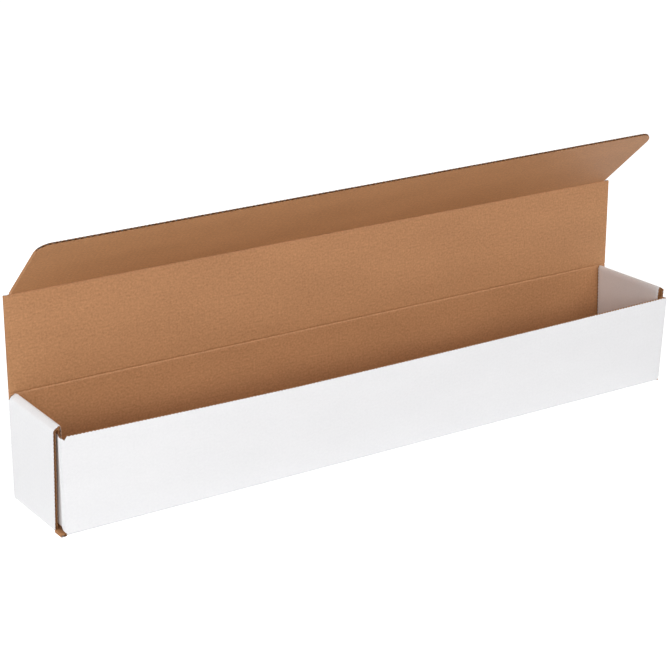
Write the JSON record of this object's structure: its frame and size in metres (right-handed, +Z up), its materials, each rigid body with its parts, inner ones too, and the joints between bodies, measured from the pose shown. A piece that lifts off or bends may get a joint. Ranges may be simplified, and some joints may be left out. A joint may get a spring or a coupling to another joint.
{
  "type": "corrugated mailer box",
  "caption": "Long one-piece corrugated mailer box, white outside and kraft inside, with rolled ends and a hinged lid whose tuck flap goes in behind the front wall.",
  "frame": {"origin": "middle of the floor's underside", "axes": "+X along the length of the box, +Y from the front wall to the back wall, +Z up out of the tray"},
  "size_m": [0.78, 0.111, 0.2923],
  "materials": {
    "white_liner": "matte white liner",
    "kraft_liner": "matte brown kraft liner"
  },
  "bodies": {
    "tray": {"tray": "white_liner"},
    "lid": {"lid": "kraft_liner"},
    "tuck_flap": {"tuck_flap": "kraft_liner"}
  },
  "joints": [
    {"name": "lid_hinge", "type": "hinge", "parent": "tray", "child": "lid", "pos_m": [0, 0.054, 0.1148], "axis": [1, 0, 0], "range_deg": [-90, 90]},
    {"name": "tuck_flap_hinge", "type": "hinge", "parent": "lid", "child": "tuck_flap", "pos_m": [0, 0.054, 0.2192], "axis": [1, 0, 0], "range_deg": [-49.5, 40.5]}
  ]
}
